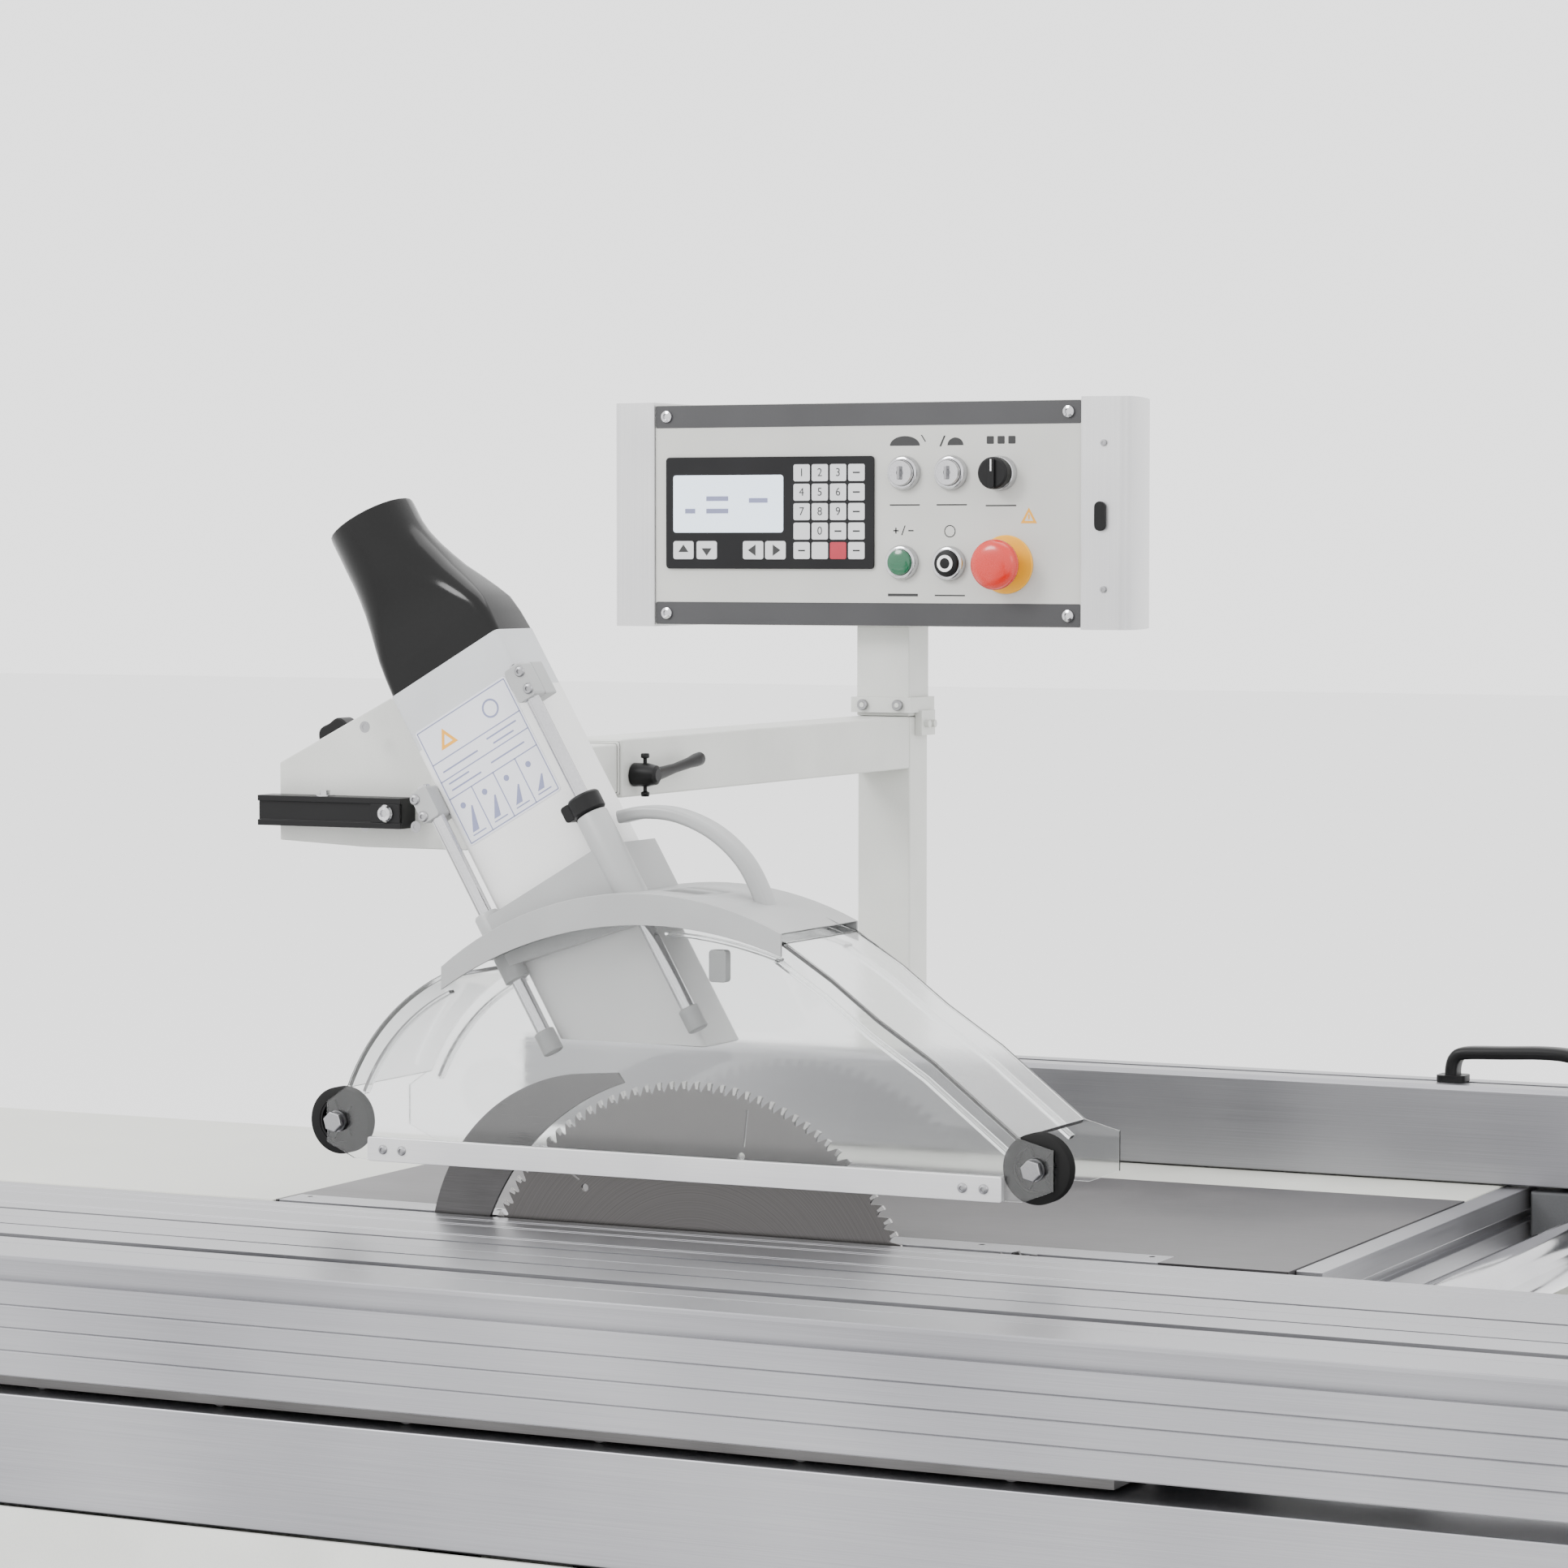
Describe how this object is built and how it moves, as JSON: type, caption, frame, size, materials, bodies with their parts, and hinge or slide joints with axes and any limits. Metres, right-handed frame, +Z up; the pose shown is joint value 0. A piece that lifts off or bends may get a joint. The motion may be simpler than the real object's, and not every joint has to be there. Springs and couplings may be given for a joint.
{
  "type": "sliding-table panel saw",
  "caption": "Sliding-table panel saw with tilting blade and scoring unit, rip fence, overhead extraction hood on a telescopic arm and a swivelling control panel.",
  "frame": {"origin": "on the floor, under the middle of the machine's bounding box", "axes": "+X along the sliding carriage towards the operator, +Y from the carriage across the blade to the rip fence and control panel, +Z up"},
  "size_m": [3.2, 1.5766, 1.595],
  "materials": {
    "cabinet_paint": "satin powder coat",
    "light_paint": "satin powder coat",
    "table_paint": "satin paint",
    "cast_iron": "ground",
    "anodised": "anodised",
    "steel": "ground",
    "blade_steel": "ground and polished",
    "chrome": "polished",
    "dark_paint": "satin paint",
    "black_plastic": "moulded",
    "duct_paint": "satin paint",
    "grey_plastic": "moulded",
    "polycarbonate": "clear sheet",
    "rubber": "moulded",
    "switch_green": "moulded",
    "switch_red": "moulded",
    "display_black": "moulded",
    "knob_black": "moulded"
  },
  "bodies": {
    "base": {"base_cabinet": "cabinet_paint", "levelling_feet": "steel", "dust_port": "cabinet_paint", "mains_switch_box": "cabinet_paint", "cable_gland": "black_plastic", "cast_iron_table": "cast_iron", "throat_insert": "anodised", "outfeed_table": "table_paint", "extension_table": "table_paint", "fence_rail": "anodised", "fence_round_bar": "chrome", "carriage_beam": "anodised", "guard_post": "light_paint", "arm_outer": "light_paint", "post_collar": "light_paint", "panel_post": "light_paint"},
    "tilt_unit": {"tilt_frame": "dark_paint", "scoring_motor": "dark_paint"},
    "rise_unit": {"rise_slide": "dark_paint", "main_motor": "dark_paint", "drive_belt": "rubber", "riving_knife": "steel", "dust_shroud": "dark_paint"},
    "blade_spindle": {"saw_arbor": "steel", "saw_blade": "blade_steel"},
    "motor_spindle": {"motor_pulley": "steel"},
    "scoring_spindle": {"scoring_arbor": "steel", "scoring_blade": "blade_steel"},
    "carriage": {"sliding_carriage": "anodised"},
    "cage": {"roller_cage": "steel"},
    "fence_carrier": {"fence_head": "cast_iron"},
    "fence": {"fence_profile": "anodised", "fence_bow_handle": "black_plastic"},
    "fence_lever": {"fence_clamp_lever": "black_plastic"},
    "door": {"service_door": "cabinet_paint"},
    "mains_knob": {"mains_switch_knob": "switch_red"},
    "guard_arm": {"arm_inner": "light_paint", "guard_bracket_plate": "light_paint", "channel_bar": "black_plastic", "extraction_duct": "duct_paint", "duct_spout": "black_plastic", "guide_rods": "chrome"},
    "arm_lever": {"arm_clamp_lever": "black_plastic"},
    "plate_knob": {"bracket_knob": "black_plastic"},
    "hood": {"hood_cap": "grey_plastic", "hood_shell": "polycarbonate", "hood_bottom_bar": "anodised"},
    "roller_left": {"hold_down_roller_left": "rubber"},
    "roller_right": {"hold_down_roller_right": "rubber"},
    "panel": {"panel_housing": "light_paint", "panel_side_profiles": "anodised", "panel_face_plate": "light_paint", "display_module": "display_black", "button_bezels": "chrome"},
    "blade_key": {"blade_key_switch": "chrome"},
    "scoring_key": {"scoring_key_switch": "chrome"},
    "mode_dial": {"mode_knob": "knob_black"},
    "start": {"start_button": "switch_green"},
    "stop": {"stop_button": "knob_black"},
    "e_stop": {"emergency_stop": "switch_red"}
  },
  "joints": [
    {"name": "carriage_slide", "type": "slide", "parent": "base", "child": "carriage", "axis": [1, 0, 0], "range_m": [-1.4, 1.4]},
    {"name": "cage_slide", "type": "slide", "parent": "base", "child": "cage", "axis": [1, 0, 0], "range_m": [-0.7, 0.7]},
    {"name": "saw_tilt", "type": "hinge", "parent": "base", "child": "tilt_unit", "pos_m": [0, -0.40925, 0.89], "axis": [-1, 0, 0], "range_deg": [0, 45]},
    {"name": "saw_rise", "type": "slide", "parent": "tilt_unit", "child": "rise_unit", "axis": [0, 0, 1], "range_m": [-0.125, 0.005]},
    {"name": "blade_spin", "type": "hinge", "parent": "rise_unit", "child": "blade_spindle", "pos_m": [0, -0.40925, 0.811], "axis": [0, 1, 0], "continuous": true},
    {"name": "motor_spin", "type": "hinge", "parent": "rise_unit", "child": "motor_spindle", "pos_m": [0, -0.40925, 0.555], "axis": [0, 1, 0], "continuous": true},
    {"name": "scoring_spin", "type": "hinge", "parent": "tilt_unit", "child": "scoring_spindle", "pos_m": [0.285, -0.40925, 0.832], "axis": [0, 1, 0], "continuous": true},
    {"name": "arm_extend", "type": "slide", "parent": "base", "child": "guard_arm", "axis": [0, 1, 0], "range_m": [-0.03, 0.02]},
    {"name": "hood_lift", "type": "slide", "parent": "guard_arm", "child": "hood", "axis": [-0.5, 0, 0.866], "range_m": [0, 0.085]},
    {"name": "roller_left_spin", "type": "hinge", "parent": "hood", "child": "roller_left", "pos_m": [-0.316, -0.43625, 0.966], "axis": [0, 1, 0], "continuous": true},
    {"name": "roller_right_spin", "type": "hinge", "parent": "hood", "child": "roller_right", "pos_m": [0.314, -0.43625, 0.962], "axis": [0, 1, 0], "continuous": true},
    {"name": "arm_clamp_turn", "type": "hinge", "parent": "base", "child": "arm_lever", "pos_m": [-0.302, 0.05275, 1.233], "axis": [1, 0, 0], "range_deg": [0, 120]},
    {"name": "bracket_knob_turn", "type": "hinge", "parent": "guard_arm", "child": "plate_knob", "pos_m": [-0.4, -0.31225, 1.274], "axis": [0, 1, 0], "range_deg": [0, 270]},
    {"name": "fence_slide", "type": "slide", "parent": "base", "child": "fence_carrier", "axis": [0, 1, 0], "range_m": [-0.42, 0.45]},
    {"name": "fence_profile_slide", "type": "slide", "parent": "fence_carrier", "child": "fence", "axis": [1, 0, 0], "range_m": [-0.05, 0.3]},
    {"name": "fence_clamp_turn", "type": "hinge", "parent": "fence_carrier", "child": "fence_lever", "pos_m": [0.69, 0.19075, 0.868], "axis": [1, 0, 0], "range_deg": [0, 60]},
    {"name": "door_swing", "type": "hinge", "parent": "base", "child": "door", "pos_m": [-0.31, -0.76825, 0.89], "axis": [0, 0, -1], "range_deg": [0, 110]},
    {"name": "mains_switch_turn", "type": "hinge", "parent": "base", "child": "mains_knob", "pos_m": [0.5823, -0.08425, 0.59], "axis": [1, 0, 0], "range_deg": [0, 90]},
    {"name": "panel_swivel", "type": "hinge", "parent": "base", "child": "panel", "pos_m": [-0.332, 0.68825, 0.89], "axis": [0, 0, 1], "range_deg": [-60, 60]},
    {"name": "blade_key_turn", "type": "hinge", "parent": "panel", "child": "blade_key", "pos_m": [-0.292, 0.63075, 1.519], "axis": [0, 1, 0], "range_deg": [0, 90]},
    {"name": "scoring_key_turn", "type": "hinge", "parent": "panel", "child": "scoring_key", "pos_m": [-0.239, 0.63075, 1.519], "axis": [0, 1, 0], "range_deg": [0, 90]},
    {"name": "mode_knob_turn", "type": "hinge", "parent": "panel", "child": "mode_dial", "pos_m": [-0.184, 0.63075, 1.518], "axis": [0, 1, 0], "range_deg": [-45, 45]},
    {"name": "start_press", "type": "slide", "parent": "panel", "child": "start", "axis": [0, 1, 0], "range_m": [0, 0.004], "stiffness_N_per_m": 800},
    {"name": "stop_press", "type": "slide", "parent": "panel", "child": "stop", "axis": [0, 1, 0], "range_m": [0, 0.004], "stiffness_N_per_m": 800},
    {"name": "emergency_stop_press", "type": "slide", "parent": "panel", "child": "e_stop", "axis": [0, 1, 0], "range_m": [0, 0.004], "stiffness_N_per_m": 1200}
  ],
  "couplings": [
    {"joint": "motor_spin", "follows": "blade_spin", "ratio": 0.7},
    {"joint": "cage_slide", "follows": "carriage_slide", "ratio": 0.5}
  ]
}
